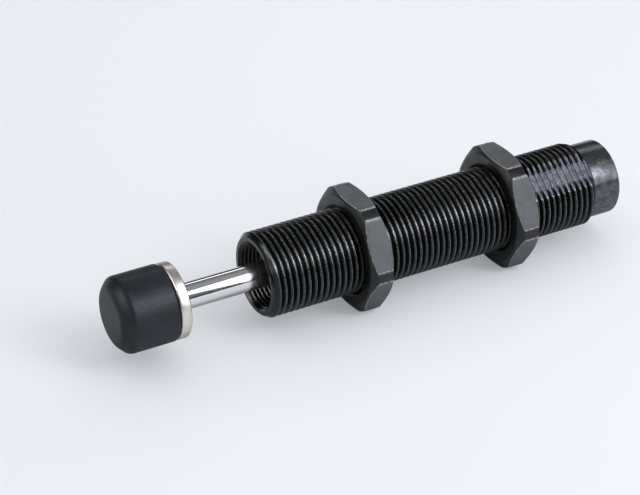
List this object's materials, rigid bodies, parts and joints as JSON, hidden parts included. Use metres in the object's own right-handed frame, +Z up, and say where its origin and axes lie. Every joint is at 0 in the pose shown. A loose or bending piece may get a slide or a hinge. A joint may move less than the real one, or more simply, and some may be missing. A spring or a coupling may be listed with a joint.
{
  "type": "industrial shock absorber",
  "caption": "Miniature hydraulic shock absorber: threaded black barrel with thin hexagon lock nuts, a chromed spring-returned rod and a black elastomer bumper on a plated steel disc.",
  "frame": {"origin": "centre of the barrel's front face, on the rod's axis", "axes": "+X along the rod, the way it comes out; +Z up, square to two flats of each lock nut; the nuts rest on their lower flats"},
  "size_m": [0.1277, 0.0294, 0.027],
  "materials": {
    "black_oxide_barrel": "black oxide, glossy with oil",
    "black_oxide_nut": "black oxide, satin",
    "hard_chrome": "hard chrome, polished",
    "nickel_plate": "turned and nickel plated",
    "bumper_elastomer": "matte black polyurethane",
    "seal_rubber": "satin nitrile rubber",
    "white_plastic": "matte",
    "turned_steel": "turned",
    "spring_steel": "drawn",
    "bronze": "satin",
    "foam": "closed-cell nitrile foam"
  },
  "bodies": {
    "barrel": {"barrel": "black_oxide_barrel", "gland_nut": "black_oxide_barrel", "rod_wiper": "seal_rubber", "backup_ring": "white_plastic", "rod_seal": "seal_rubber", "guide_head": "turned_steel", "head_o_ring": "seal_rubber", "bearing_bush": "bronze", "accumulator_foam": "foam", "pressure_tube": "turned_steel", "tube_base_plug": "turned_steel", "return_spring": "spring_steel", "fill_ball": "hard_chrome", "fill_screw": "black_oxide_nut"},
    "piston_rod": {"piston_rod": "hard_chrome", "bumper_plate": "nickel_plate", "bumper": "bumper_elastomer", "piston": "turned_steel", "piston_ring": "spring_steel", "piston_nut": "turned_steel"},
    "check_plate": {"check_plate": "spring_steel"},
    "front_lock_nut": {"front_lock_nut": "black_oxide_nut"},
    "rear_lock_nut": {"rear_lock_nut": "black_oxide_nut"}
  },
  "joints": [
    {"name": "rod_stroke", "type": "slide", "parent": "barrel", "child": "piston_rod", "axis": [1, 0, 0], "range_m": [-0.019, 0], "stiffness_N_per_m": 450, "springref_m": 0.008, "deforming": ["return_spring"]},
    {"name": "check_plate_lift", "type": "slide", "parent": "piston_rod", "child": "check_plate", "axis": [1, 0, 0], "range_m": [-0.0003, 0]},
    {"name": "front_nut_travel", "type": "slide", "parent": "barrel", "child": "front_lock_nut", "axis": [1, 0, 0], "range_m": [-0.016, 0.0215]},
    {"name": "rear_nut_travel", "type": "slide", "parent": "barrel", "child": "rear_lock_nut", "axis": [1, 0, 0], "range_m": [-0.017, 0.016]}
  ]
}
